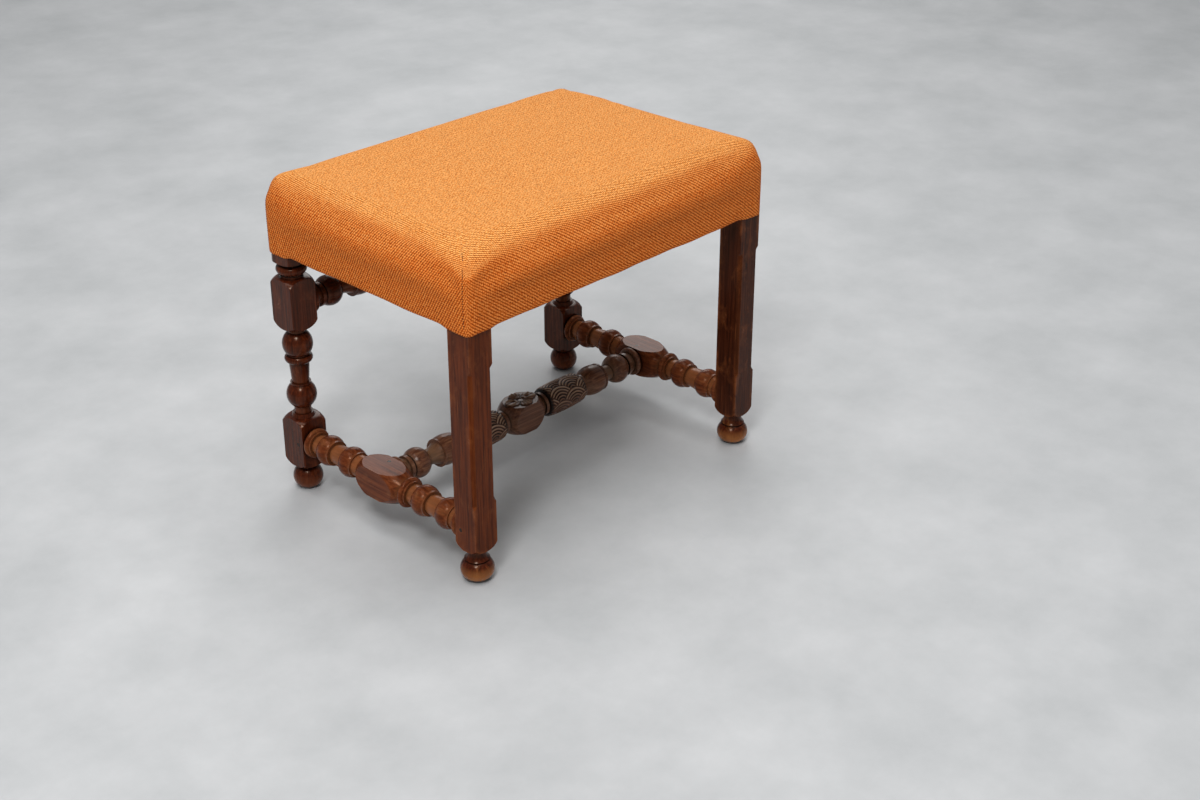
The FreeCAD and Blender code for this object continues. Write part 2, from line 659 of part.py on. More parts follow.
# Seat: crowned stuffing on the hessian, under a woven cover that is drawn down over the rails

cover_x = "(span_x/2+head_stock/2+soft_gap+cover_t)"
cover_front = f"({front_y}-head_stock/2-soft_gap-cover_t)"
cover_back = f"(0-{cover_front})"
stuffing_low = f"({hessian_z}+hessian_t)"


def seat_form(name, inset, drop, low, swell, round_text, corner_text):
    """Crowned seat form: the section across the seat and the section along it, in common."""
    half_x = f"({cover_x}-({inset}))"
    front = f"({cover_front}+({inset}))"
    back = f"({cover_back}-({inset}))"
    edge = f"(seat_edge-({drop}))"
    slabs = []
    for role, near, far in (("XZ_Plane", f"0-{half_x}", half_x), ("YZ_Plane", front, back)):
        body = doc.addObject("PartDesign::Body", f"{name}_{role[:2].lower()}")
        sketch = sketch_on(body, role, f"{name}_{role[:2].lower()}_section")
        trace(sketch, [(near, low, None), (far, low, f"0-({swell})"), (far, edge, "0-seat_crown"),
                       (near, edge, f"0-({swell})")])
        pad = body.newObject("PartDesign::Pad", f"{name}_{role[:2].lower()}_run")
        pad.Profile = sketch
        pad.Midplane = True
        tie(pad, "Length", "2*span_x")
        slabs.append(body)
    form = doc.addObject("Part::Common", name + "_form")
    form.Base, form.Tool = slabs
    doc.recompute()
    rounded = doc.addObject("Part::Fillet", name + "_rounded")
    rounded.Base = form
    radius = size(round_text)
    rim = size(edge) - radius / 2
    corner = size(corner_text)
    edges = []
    for number, line in enumerate(form.Shape.Edges, 1):
        level = line.BoundBox.XLength + line.BoundBox.YLength > span_floor
        if level and line.CenterOfMass.z > rim:
            edges.append((number, radius, radius))
        if not level:
            edges.append((number, corner, corner))
    rounded.Edges = edges
    return rounded


span_floor = size("span_y") / 2
stuffing = seat_form("stuffing", "cover_t+soft_gap+edge_round/3", "cover_t+soft_gap", stuffing_low,
                     "side_swell/6", "edge_round/2", "corner_round/2")
piece(stuffing, "stuffing")

cover_outer = seat_form("cover_outer", "0", "0", "hem_z", "side_swell", "edge_round", "corner_round")
cover_inner = seat_form("cover_inner", "cover_t", "cover_t", "(hem_z+cover_t)", "side_swell",
                        "edge_round-cover_t", "corner_round-cover_t")
turn_in = "(cover_t+hem_turn)"
cover_tools = [cover_inner, box("cover_opening", (f"0-{cover_x}+{turn_in}", f"{cover_front}+{turn_in}", "0"),
                                (f"{cover_x}-{turn_in}", f"{cover_back}-{turn_in}", "leg_top"))]
for side, sign in SIDES:
    for end, stock, y in (("front", "leg_stock", front_y), ("back", "post_stock", back_y)):
        reach = f"({stock}/2+soft_gap)"
        x = f"({sign}1)*span_x/2"
        cover_tools.append(box(f"cover_{end}_leg_{side}", (f"{x}-{reach}", f"{y}-{reach}", "0"),
                               (f"{x}+{reach}", f"{y}+{reach}", "leg_top")))
piece(cut("top_cover", cover_outer, cover_tools), "top_cover")


# Every piece is checked before any is written

doc.recompute()
faults = [item.Name for item in doc.Objects if {"Invalid", "Error"} & set(item.State)]
faults += [item.Label for item in pieces if item.Shape.isNull() or not item.Shape.isValid()]
if faults:
    raise RuntimeError("pieces that failed: " + ", ".join(faults))
os.makedirs("parts", exist_ok=True)
for item in pieces:
    item.Shape.exportStep(f"parts/{item.Label}.step")
    print(item.Label, len(item.Shape.Solids), round(item.Shape.Volume / 1000, 1))
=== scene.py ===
import math
import bmesh
import bpy
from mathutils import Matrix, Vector


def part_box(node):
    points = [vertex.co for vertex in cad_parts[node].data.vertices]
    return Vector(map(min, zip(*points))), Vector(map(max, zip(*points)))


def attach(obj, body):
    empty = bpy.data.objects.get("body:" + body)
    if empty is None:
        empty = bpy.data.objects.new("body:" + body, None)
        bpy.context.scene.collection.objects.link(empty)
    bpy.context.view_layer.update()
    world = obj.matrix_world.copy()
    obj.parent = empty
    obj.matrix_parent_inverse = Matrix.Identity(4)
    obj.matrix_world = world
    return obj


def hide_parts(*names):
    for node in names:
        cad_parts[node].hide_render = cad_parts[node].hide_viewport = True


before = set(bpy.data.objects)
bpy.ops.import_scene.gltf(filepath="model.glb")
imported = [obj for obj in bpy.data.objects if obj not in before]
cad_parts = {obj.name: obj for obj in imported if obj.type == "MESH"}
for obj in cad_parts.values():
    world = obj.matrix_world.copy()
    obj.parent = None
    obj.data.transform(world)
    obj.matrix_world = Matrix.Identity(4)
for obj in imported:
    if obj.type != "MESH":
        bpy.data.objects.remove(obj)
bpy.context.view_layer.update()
scene = bpy.context.scene
scene.view_settings.view_transform = "Standard"


# Front legs, back posts and ball feet: walnut, turned or planed, stained dark and waxed for a long time.
# The feet are tenoned up into the posts. Wax over open grain gives a soft gloss, dark streaks along the
# grain and paler rubbed places; grooves and joins are darkened as painted shade, with old dirt.

MM = 0.001


def srgb(text):
    """Linear colour from an sRGB hex value."""
    parts = [int(text[i:i + 2], 16) / 255 for i in (0, 2, 4)]
    return [c / 12.92 if c <= 0.04045 else ((c + 0.055) / 1.055) ** 2.4 for c in parts] + [1.0]


def fill(tree, node, sockets):
    """Gives a node's inputs their values, or a link where the value is another node's output."""
    for key, value in sockets.items():
        if isinstance(value, bpy.types.NodeSocket):
            tree.links.new(value, node.inputs[key])
        else:
            node.inputs[key].default_value = value


def add(tree, kind, sockets=None, stops=(), **settings):
    """Adds one node with its settings, inputs and any (place, hex) colour stops, and returns its outputs."""
    node = tree.nodes.new(kind)
    for key, value in settings.items():
        setattr(node, key, value)
    fill(tree, node, sockets or {})
    band = node.color_ramp.elements if stops else []
    while len(band) < len(stops):
        band.new(0.5)
    for element, (at, text) in zip(band, stops):
        element.position = at
        element.color = srgb(text)
    return node.outputs


def finish_of(name):
    """New material with its node tree, shader and Object coordinates."""
    material = bpy.data.materials.new(name)
    material.use_nodes = True
    tree = material.node_tree
    shader = tree.nodes["Principled BSDF"]
    place = add(tree, "ShaderNodeTexCoord")["Object"]
    return material, tree, shader, place


STREAK_ROUGH = 0.62
STREAK_BEND = 0.4


def streaks(tree, place, axis, across_mm, along_mm, detail):
    """Noise drawn out along one axis of the piece, with its widths across and along that axis."""
    scale = [1 / (across_mm * MM)] * 3
    scale[axis] = 1 / (along_mm * MM)
    drawn = add(tree, "ShaderNodeMapping", {"Vector": place, "Scale": scale})["Vector"]
    return add(tree, "ShaderNodeTexNoise", {"Vector": drawn, "Scale": 1.0, "Detail": detail,
                                            "Roughness": STREAK_ROUGH, "Distortion": STREAK_BEND})["Fac"]


# Streaks are mm across, mm along and detail. Real pores are finer than this grain, which is drawn as
# coarse as it needs to show.
GRAIN = (3.6, 80, 6.0)
GRAIN_STOPS = (0.3, 0.5, 0.72)
GRAIN_DEEP = 0.3 * MM
GRAIN_STRENGTH = 0.3
PATCH = (22, 34, 5.0)        # uneven wax and handling
PATCH_SPAN = {"From Min": 0.54, "From Max": 0.8, "To Max": 0.55}
NECK_RUB = 0.6
SOLE_SPAN = {"From Min": 24 * MM, "From Max": 7 * MM, "To Max": 1.6}
SCRATCH = (1.6, 70, 2.0)
SCRATCH_SPAN = {"From Min": 0.66, "From Max": 0.72}
ARRIS_MM = 7                 # knocks and polishing wear the stain off corners within about this distance
ARRIS_SPAN = {"From Min": 0.9, "From Max": 0.5}
CHIP_SPAN = {"From Min": 0.4, "From Max": 0.6}
GROOVE_MM = 8                # painted shade, with old dirt and wax, darkens grooves and joins of about this width
GROOVE_SHADE_SPAN = {"From Min": 0.85, "From Max": 0.4, "To Max": 0.8}
GROOVE_SHADE_AND_GRIME = "160A06"
NEAR_RAYS = 6
WAX_SPECULAR = 0.24
COAT_ROUGH = 0.1
GLOSS_SPREAD = 0.1


def rubbed_places(tree, place, patch, axis, middle=None, thin_mm=13, thick_mm=19, sole=False,
                  scratches=0.0, knocks=0.0):
    """How far the stain is rubbed through: in patches, on thin necks, soles, scratches and corners."""
    rubs = [add(tree, "ShaderNodeMapRange", {"Value": patch, **PATCH_SPAN})["Result"]]
    if middle:
        offset = add(tree, "ShaderNodeVectorMath", {0: place, 1: middle}, operation="SUBTRACT")["Vector"]
        keep = [0.0 if i == axis else 1.0 for i in range(3)]
        across = add(tree, "ShaderNodeVectorMath", {0: offset, 1: keep}, operation="MULTIPLY")["Vector"]
        radius = add(tree, "ShaderNodeVectorMath", {0: across}, operation="LENGTH")["Value"]
        rubs.append(add(tree, "ShaderNodeMapRange", {"Value": radius, "From Min": thick_mm * MM,
                                                     "From Max": thin_mm * MM, "To Max": NECK_RUB})["Result"])
    if sole:
        height = add(tree, "ShaderNodeSeparateXYZ", {"Vector": place})["Z"]
        low = add(tree, "ShaderNodeMapRange", {"Value": height, **SOLE_SPAN})["Result"]
        rubs.append(add(tree, "ShaderNodeMath", {0: low, 1: patch}, operation="MULTIPLY")["Value"])
    if scratches:
        line = streaks(tree, place, axis, *SCRATCH)
        rubs.append(add(tree, "ShaderNodeMapRange", {"Value": line, **SCRATCH_SPAN,
                                                     "To Max": scratches})["Result"])
    if knocks:
        arris = add(tree, "ShaderNodeAmbientOcclusion", {"Distance": ARRIS_MM * MM},
                    samples=NEAR_RAYS, inside=True)["AO"]
        bare = add(tree, "ShaderNodeMapRange", {"Value": arris, **ARRIS_SPAN, "To Max": knocks})["Result"]
        chip = add(tree, "ShaderNodeMapRange", {"Value": patch, **CHIP_SPAN})["Result"]
        rubs.append(add(tree, "ShaderNodeMath", {0: bare, 1: chip}, operation="MULTIPLY")["Value"])
    most = rubs[0]
    for rub in rubs[1:]:
        most = add(tree, "ShaderNodeMath", {0: rub, 1: most}, operation="MAXIMUM")["Value"]
    return most


def waxed_walnut(name, tones, rubbed, axis, wax="E8C0A0", gloss=0.24, coat=0.1, over=None, **wear):
    """Walnut under wax, its grain along axis; over lays more on its colour, wear goes to rubbed_places."""
    material, tree, shader, place = finish_of(name)
    grain = streaks(tree, place, axis, *GRAIN)
    patch = streaks(tree, place, axis, *PATCH)
    colour = add(tree, "ShaderNodeValToRGB", {"Fac": grain}, list(zip(GRAIN_STOPS, tones)))["Color"]
    rub = rubbed_places(tree, place, patch, axis, **wear)
    colour = add(tree, "ShaderNodeMixRGB", {"Fac": rub, "Color1": colour, "Color2": srgb(rubbed)})["Color"]
    if over:
        colour = over(tree, colour)
    # Painted shade: ambient occlusion darkens grooves and the joins between parts, and stands also for old
    # dirt.
    groove = add(tree, "ShaderNodeAmbientOcclusion", {"Distance": GROOVE_MM * MM}, samples=NEAR_RAYS)["AO"]
    shade_and_grime = add(tree, "ShaderNodeMapRange", {"Value": groove, **GROOVE_SHADE_SPAN})["Result"]
    colour = add(tree, "ShaderNodeMixRGB", {"Fac": shade_and_grime, "Color1": colour, "Color2": srgb(GROOVE_SHADE_AND_GRIME)})["Color"]
    rough = add(tree, "ShaderNodeMapRange", {"Value": patch, "To Min": gloss - GLOSS_SPREAD,
                                             "To Max": gloss + GLOSS_SPREAD})["Result"]
    relief = add(tree, "ShaderNodeBump", {"Height": grain, "Strength": GRAIN_STRENGTH,
                                          "Distance": GRAIN_DEEP})["Normal"]
    fill(tree, shader, {"Base Color": colour, "Roughness": rough, "Normal": relief,
                        "Specular IOR Level": WAX_SPECULAR, "Specular Tint": srgb(wax),
                        "Coat Weight": coat, "Coat Roughness": COAT_ROUGH})
    return material


def dress(node, material):
    """Gives a CAD node its finish."""
    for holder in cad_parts[node].material_slots:
        holder.material = material


def middle_of(node):
    """Middle of a CAD node's box."""
    low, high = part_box(node)
    return [(a + b) / 2 for a, b in zip(low, high)]


DARK_WALNUT = ("2A0E07", "461A0B", "642C16")
POST_WALNUT = ("38150A", "56240E", "723416")
SHADED_WALNUT = ("240C05", "3A170A", "502511")
DARK_RUBBED = "7A4024"
POST_RUBBED = "8E4E28"
SOLE_RUBBED = "B8743E"
# The left post takes the darker SHADED_WALNUT tones: painted shade on a copy of the post walnut.
for side, post_tones in (("left", SHADED_WALNUT), ("right", POST_WALNUT)):
    leg, post, foot = "front_leg_" + side, "back_leg_" + side, "back_foot_" + side
    dress(leg, waxed_walnut("walnut_leg_" + side, DARK_WALNUT, DARK_RUBBED, 2,
                            middle=middle_of(leg), thin_mm=10, thick_mm=13, sole=True))
    dress(post, waxed_walnut("walnut_post_" + side, post_tones, POST_RUBBED, 2,
                             wax="D49464", coat=0.01, scratches=0.5, knocks=0.9))
    dress(foot, waxed_walnut("walnut_foot_" + side, DARK_WALNUT, SOLE_RUBBED, 2, sole=True))


# Stretchers and pegs: walnut turned into rings, balls and waists, rubbed to gold where shoes touch them.
# Round tenons hold them, each with a peg across it. The centre one is duller, because dust stays on it.

SIDE_WALNUT = ("401C0F", "622E18", "824527")
SIDE_RUBBED = "A4683F"
DUSTY_WALNUT = ("3E2014", "6A412E", "8C6248")
DUSTY_RUBBED = "7C6148"
DUSTY_WAX = "F2E4DA"
PEG_WALNUT = ("120A07", "20110B", "2E1A12")
PEG_RUBBED = "3A2216"
for side in ("left", "right"):
    node = "side_stretcher_" + side
    dress(node, waxed_walnut("walnut_side_" + side, SIDE_WALNUT, SIDE_RUBBED, 1,
                             wax="DCA078", coat=0.03, middle=middle_of(node), knocks=0.5))
cross_middle = middle_of("centre_stretcher")
dress("centre_stretcher", waxed_walnut("walnut_centre", DUSTY_WALNUT, DUSTY_RUBBED, 0,
                                       wax=DUSTY_WAX, gloss=0.3, middle=cross_middle, thin_mm=10))
dress("front_stretcher", waxed_walnut("walnut_front", DARK_WALNUT, DARK_RUBBED, 0,
                                      middle=middle_of("front_stretcher"), thin_mm=10))
peg_walnut = waxed_walnut("walnut_peg", PEG_WALNUT, PEG_RUBBED, 2)
for node in ("leg_pegs", "cross_pegs", "front_pegs"):
    dress(node, peg_walnut)


# Carving on the centre stretcher: scales of ring-shaped waves round both barrels, a flower on the block.
# It is cut in the solid wood with gouges, so each part is a thin carved skin in the same dusty wax.

def ease(value, start, stop):
    """0 to 1 with a soft start and stop."""
    share = max(0.0, min(1.0, (value - start) / (stop - start)))
    return share * share * (3 - 2 * share)


def surface(name, grid, spot, material):
    """Closed mesh from spot(row share, column share), which may add a carved height to its place."""
    rows, columns = grid
    mesh = bpy.data.meshes.new(name)
    points = [spot(r / rows, c / columns) for r in range(rows + 1) for c in range(columns)]
    faces = []
    for r in range(rows):
        for c in range(columns):
            n = (c + 1) % columns
            faces.append((r * columns + c, r * columns + n, (r + 1) * columns + n, (r + 1) * columns + c))
    mesh.from_pydata([point[:3] for point in points], [], faces)
    carved = mesh.attributes.new("carved", "FLOAT", "POINT")
    carved.data.foreach_set("value", [point[3] if len(point) > 3 else 0.0 for point in points])
    work = bmesh.new()
    work.from_mesh(mesh)
    bmesh.ops.remove_doubles(work, verts=work.verts, dist=1e-6)
    bmesh.ops.holes_fill(work, edges=[e for e in work.edges if e.is_boundary], sides=0)
    bmesh.ops.recalc_face_normals(work, faces=work.faces)
    work.to_mesh(mesh)
    work.free()
    mesh.polygons.foreach_set("use_smooth", [True] * len(mesh.polygons))
    mesh.materials.append(material)
    piece = bpy.data.objects.new(name, mesh)
    bpy.context.collection.objects.link(piece)
    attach(piece, "root")
    return piece


# Carved height paints shade into the cuts and a highlight onto the ridges that face up.
CUT_SHADE = "140905"
CUT_SPAN = {"From Min": 0.25, "From Max": 0.78}
RIDGE_HIGHLIGHT = "C6A68C"
RIDGE_SPAN = {"From Min": 0.6, "From Max": 1.0, "To Max": 0.9}
UPWARD_HIGHLIGHT_SPAN = {"From Min": -0.3, "From Max": 0.6}


def facing_up(tree, span):
    """Share of a span that the surface's upward slope has reached."""
    normal = add(tree, "ShaderNodeNewGeometry")["Normal"]
    upward = add(tree, "ShaderNodeSeparateXYZ", {"Vector": normal})["Z"]
    return add(tree, "ShaderNodeMapRange", {"Value": upward, **span})["Result"]


def carving_shade_and_highlight(tree, colour):
    """Painted shade in the cuts, and a painted highlight on the ridges that face up."""
    height = add(tree, "ShaderNodeAttribute", attribute_name="carved")["Fac"]
    # Painted shade: the lower the carved height, the darker the colour.
    out_of_cut_shade = add(tree, "ShaderNodeMapRange", {"Value": height, **CUT_SPAN})["Result"]
    colour = add(tree, "ShaderNodeMixRGB", {"Fac": out_of_cut_shade, "Color1": srgb(CUT_SHADE),
                                            "Color2": colour})["Color"]
    # Painted highlight: high ridges that face up are made paler.
    ridge = add(tree, "ShaderNodeMapRange", {"Value": height, **RIDGE_SPAN})["Result"]
    lit_ridge = add(tree, "ShaderNodeMath", {0: ridge, 1: facing_up(tree, UPWARD_HIGHLIGHT_SPAN)},
                  operation="MULTIPLY")["Value"]
    return add(tree, "ShaderNodeMixRGB", {"Fac": lit_ridge, "Color1": colour,
                                          "Color2": srgb(RIDGE_HIGHLIGHT)})["Color"]


BARREL_LENGTH = 72 * MM
BARREL_MIDDLE = 78 * MM      # from the middle of the stretcher
BARREL_RADIUS = 20.8 * MM
BARREL_END_RADIUS = 19.1 * MM
BARREL_NOSE = 2.5 * MM
BARREL_GRID = (132, 224)
SCALE_MM = 26                # radius of one scale
SCALE_ROWS = 12
RING_MM = 4.2
RIM_SHARE = 0.35             # a scale rises this much from its root to its rim
CARVED_DEEP = 2.2 * MM
CARVED_FADE = 5 * MM
barrel_girth_mm = 2 * math.pi * BARREL_RADIUS / MM
carved_walnut = waxed_walnut("walnut_carved", DUSTY_WALNUT, DUSTY_RUBBED, 0, wax=DUSTY_WAX, gloss=0.32,
                             over=carving_shade_and_highlight)


def scale_height(along, around):
    """Carved height from 0 to 1 at a place on the barrel, in mm; lower scales lie over higher ones."""
    step = barrel_girth_mm / SCALE_ROWS
    first = math.ceil((around - SCALE_MM) / step)
    for row in range(first, first + math.ceil(SCALE_MM / step) + 1):
        shift = (row % 2) * SCALE_MM
        column = round((along - shift) / (2 * SCALE_MM))
        up = around - row * step
        reach = math.hypot(along - shift - column * 2 * SCALE_MM, up)
        if up >= 0 and reach <= SCALE_MM:
            ring = abs(math.sin(math.pi * reach / RING_MM))
            return RIM_SHARE * reach / SCALE_MM + (1 - RIM_SHARE) * ring
    return 0.0


def carved_barrel(name, sign):
    """Carved skin round one barrel of the centre stretcher."""
    def spot(r, c):
        end = min(r, 1 - r) * BARREL_LENGTH
        nose = BARREL_NOSE * (1 - math.sqrt(1 - max(0.0, 1 - end / BARREL_NOSE) ** 2))
        plain = BARREL_END_RADIUS + (BARREL_RADIUS - BARREL_END_RADIUS) * (1 - (2 * r - 1) ** 2) - nose
        cut = min(1.0, end / CARVED_FADE) * scale_height(r * BARREL_LENGTH / MM, c * barrel_girth_mm)
        radius = plain + CARVED_DEEP * cut
        angle = 2 * math.pi * c
        return (sign * BARREL_MIDDLE + (r - 0.5) * BARREL_LENGTH,
                cross_middle[1] + radius * math.cos(angle), cross_middle[2] + radius * math.sin(angle), cut)
    surface(name, BARREL_GRID, spot, carved_walnut)


carved_barrel("carved_barrel_left", -1)
carved_barrel("carved_barrel_right", 1)

FLOWER_RADIUS = 20.5 * MM
FLOWER_HEIGHT = 4.2 * MM
FLOWER_SUNK = 0.2 * MM
FLOWER_GRID = (44, 280)
FLOWER_PALE = 0.42           # even its lowest places get less painted shade than the cuts in the barrels
HEART_SPAN = (0.12, 0.3)     # this and the other spans are shares of the flower's radius
FAN_SPAN = (0.2, 0.75)
EDGE_SPAN = (0.86, 1.0)
RIB_SPAN = (0.25, 0.5)
VEIN_SPAN = (0.3, 0.4)
FAN_ROUND = 0.6
FAN_NOTCH = 0.22
FAN_FLOOR = 0.12
LEAF_REACH = 8 * MM
LEAF_POINT = 10
RIBS = 10
RIB_CUT = 0.45
VEIN_HALF = 1.3 * MM
VEIN_CUT = 0.6
VEIN_POINT = 4
BLOCK_HALF = 21 * MM
block_top = cross_middle[2] + BLOCK_HALF


def flower_spot(r, c):
    """Four ribbed fans round a sunk heart; the two that lie along the stretcher are veined leaves."""
    angle = 2 * math.pi * c
    along = abs(math.cos(angle))
    fan = abs(math.cos(2 * angle)) ** FAN_ROUND
    rim = FLOWER_RADIUS * (1 - FAN_NOTCH + FAN_NOTCH * fan) + LEAF_REACH * along ** LEAF_POINT
    body = ease(r, *HEART_SPAN) * (1 - ease(r, *EDGE_SPAN)) * (0.5 + 0.5 * ease(r, *FAN_SPAN))
    ribbed = 1 - RIB_CUT * abs(math.sin(RIBS * angle)) * ease(r, *RIB_SPAN)
    groove = math.exp(-(rim * r * math.sin(angle) / VEIN_HALF) ** 2)
    vein = groove * along ** VEIN_POINT * ease(r, *VEIN_SPAN)
    cut = max(0.0, body * ribbed * (FAN_FLOOR + (1 - FAN_FLOOR) * fan) - VEIN_CUT * vein * body)
    return (cross_middle[0] + rim * r * math.cos(angle), cross_middle[1] + rim * r * math.sin(angle),
            block_top - FLOWER_SUNK + FLOWER_HEIGHT * cut, FLOWER_PALE + (1 - FLOWER_PALE) * cut)


surface("carved_flower", FLOWER_GRID, flower_spot, carved_walnut)


# Seat rails: plain planed hardwood between the legs, never polished, seen only from below.
# Bare wood is matt and a little dirty.

RAIL_TONES = ("4A3420", "6A4C2E", "7F5E3C")
RAIL_RUBBED = "5C4028"
rail_wood = waxed_walnut("planed_rail", RAIL_TONES, RAIL_RUBBED, 0, gloss=0.6)
for node in ("seat_rail_front", "seat_rail_back", "seat_rail_left", "seat_rail_right"):
    dress(node, rail_wood)


# Webbing and hessian: jute straps pulled tight over the rails, and a coarse jute sheet over them.
# Jute is dull and fibrous, with a plain weave; the straps pass over and under each other.

JUTE_STOPS = (0.1, 0.4, 0.65)
JUTE_FIBRE = (4, 9, 4.0)
JUTE_DEEP = 0.5 * MM
JUTE_STRENGTH = 0.6
JUTE_ROUGH = 0.95


def jute(name, tones, thread_mm):
    """Plain weave of rough threads, thread_mm apart."""
    material, tree, shader, place = finish_of(name)
    turns = [math.pi / (thread_mm * MM)] * 3
    scaled = add(tree, "ShaderNodeMapping", {"Vector": place, "Scale": turns})["Vector"]
    parts = add(tree, "ShaderNodeSeparateXYZ", {"Vector": scaled})
    waves = [add(tree, "ShaderNodeMath", {0: parts[axis]}, operation="SINE")["Value"] for axis in "XY"]
    threads = [add(tree, "ShaderNodeMath", {0: wave}, operation="ABSOLUTE")["Value"] for wave in waves]
    weave = add(tree, "ShaderNodeMath", {0: threads[0], 1: threads[1]}, operation="MAXIMUM")["Value"]
    fibre = streaks(tree, place, 0, *JUTE_FIBRE)
    shade = add(tree, "ShaderNodeMath", {0: weave, 1: fibre}, operation="MULTIPLY")["Value"]
    colour = add(tree, "ShaderNodeValToRGB", {"Fac": shade}, list(zip(JUTE_STOPS, tones)))["Color"]
    relief = add(tree, "ShaderNodeBump", {"Height": weave, "Strength": JUTE_STRENGTH,
                                          "Distance": JUTE_DEEP})["Normal"]
    fill(tree, shader, {"Base Color": colour, "Roughness": JUTE_ROUGH, "Normal": relief})
    return material


webbing_jute = jute("webbing_jute", ("4A3A26", "7C6646", "A08860"), 2.2)
hessian_jute = jute("hessian_jute", ("5A4426", "94764A", "B4965F"), 1.8)
STRAP_LIFT = 0.75 * MM
STRAP_BEND = 14 * MM
STRAP_WALL_SHARE = 0.48      # of the CAD strap's thickness, so that crossing straps stay clear
STRAP_GRID = (120, 20)
LONG_STRAPS = (1, 2, 3)
CROSS_STRAPS = (1, 2, 3, 4)
long_places = [middle_of(f"webbing_long_{n}")[1] for n in LONG_STRAPS]
cross_places = [middle_of(f"webbing_cross_{n}")[0] for n in CROSS_STRAPS]
strap_half = (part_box("webbing_long_1")[1][1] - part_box("webbing_long_1")[0][1]) / 2
hessian_low, hessian_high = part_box("base_hessian")


def strap(node, crossed, own, flip):
    """Strap at its CAD strap's place that goes over one crossing strap and under the next."""
    low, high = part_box(node)
    way = 0 if "long" in node else 1
    middle_z = hessian_low[2] - 2 * STRAP_LIFT
    thick = (high[2] - low[2]) * STRAP_WALL_SHARE

    def spot(r, c):
        at = [0.0, 0.0, 0.0]
        at[way] = low[way] + (high[way] - low[way]) * r
        side = c * 4
        across, top = ((side, 1) if side <= 1 else (1, 2 - side) if side <= 2 else
                       (3 - side, 0) if side <= 3 else (0, side - 3))
        at[1 - way] = low[1 - way] + (high[1 - way] - low[1 - way]) * across
        lift = -1.0 if way == 0 else 1.0
        for index, place in enumerate(crossed):
            turn = 1.0 if (index + own + flip) % 2 else -1.0
            lift += (turn - lift) * ease(strap_half + STRAP_BEND - abs(at[way] - place), 0.0, STRAP_BEND)
        at[2] = middle_z + STRAP_LIFT * lift + thick * (top - 0.5)
        return at
    piece = surface("strap_" + node, STRAP_GRID, spot, webbing_jute)
    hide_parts(node)


for index in LONG_STRAPS:
    strap(f"webbing_long_{index}", cross_places, index, 0)
for index in CROSS_STRAPS:
    strap(f"webbing_cross_{index}", long_places, index, 1)

HESSIAN_WALL = 0.6 * MM
HESSIAN_RAISED = 0.25 * MM
HESSIAN_DIP = 0.2 * MM
HESSIAN_WAVES = (8, 6)       # half waves along and across, as a loose weave lies
HESSIAN_GRID = (80, 96)


def hessian_spot(r, c):
    """Place on the sheet's top for the first half of c, and on its underside for the rest."""
    x = hessian_low[0] + (hessian_high[0] - hessian_low[0]) * r
    across, top = (2 * c, 1) if c <= 0.5 else (2 - 2 * c, 0)
    y = hessian_low[1] + (hessian_high[1] - hessian_low[1]) * across
    waves = math.sin(r * math.pi * HESSIAN_WAVES[0]) * math.sin(across * math.pi * HESSIAN_WAVES[1])
    return x, y, hessian_low[2] + HESSIAN_RAISED + HESSIAN_WALL * top + HESSIAN_DIP * waves


hessian = surface("hessian_sheet", HESSIAN_GRID, hessian_spot, hessian_jute)
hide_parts("base_hessian")


# Seat cover: coarse orange twill of jute and wool, drawn over a hair pad and tacked under the rails.
# The ribs meet in a chevron at each corner seam, dark pits show between threads, and the top is painted paler
# and the sides a richer orange, as painted light and shade.

RIB_MM = 3.3                 # the real cloth's ribs, as they measure in the photo
RIB_WAY = (0.562, 0.827)     # across the ribs, which slope at about 34 degrees
PIT_MM = 2.8
PIT_WAY = (1.0, 0.0)
PIT_SHARE = 0.6
THREAD_ROUND = 0.7
THREAD_DEEP = 0.7 * MM
THREAD_STRENGTH = 0.4
UNEVEN = (9, 16, 3.0)
WANDER = 1.6
FIBRE = (1.3, 2.6, 4.0)      # real fibres are finer; they are drawn as coarse as they need to show
FLECK = (2.6, 4.0, 2.0)
SLUB = (3.4, 46, 2.0)
THREAD_SHARE = 0.48
FIBRE_SHARE = 1.0
FLECK_SHARE = 0.3
SLUB_SHARE = 0.15
SHADE_SHIFT = -0.286
# Painted light and shade: the richer orange goes on the sides, the paler one on the top.
SHADED_SIDE_ORANGE = [(0.46, "561400"), (0.59, "B04406"), (0.73, "DA6818"), (0.90, "F29A4C")]
LIT_TOP_ORANGE = [(0.49, "602203"), (0.62, "B05812"), (0.73, "D88434"), (0.88, "ECB26C")]
LIT_TOP_SPAN = {"From Min": 0.3, "From Max": 0.95}
DULL_CLOTH = {"Roughness": 0.92, "Specular IOR Level": 0.15, "Sheen Weight": 0.04, "Sheen Roughness": 0.5,
              "Sheen Tint": srgb("F0B070")}


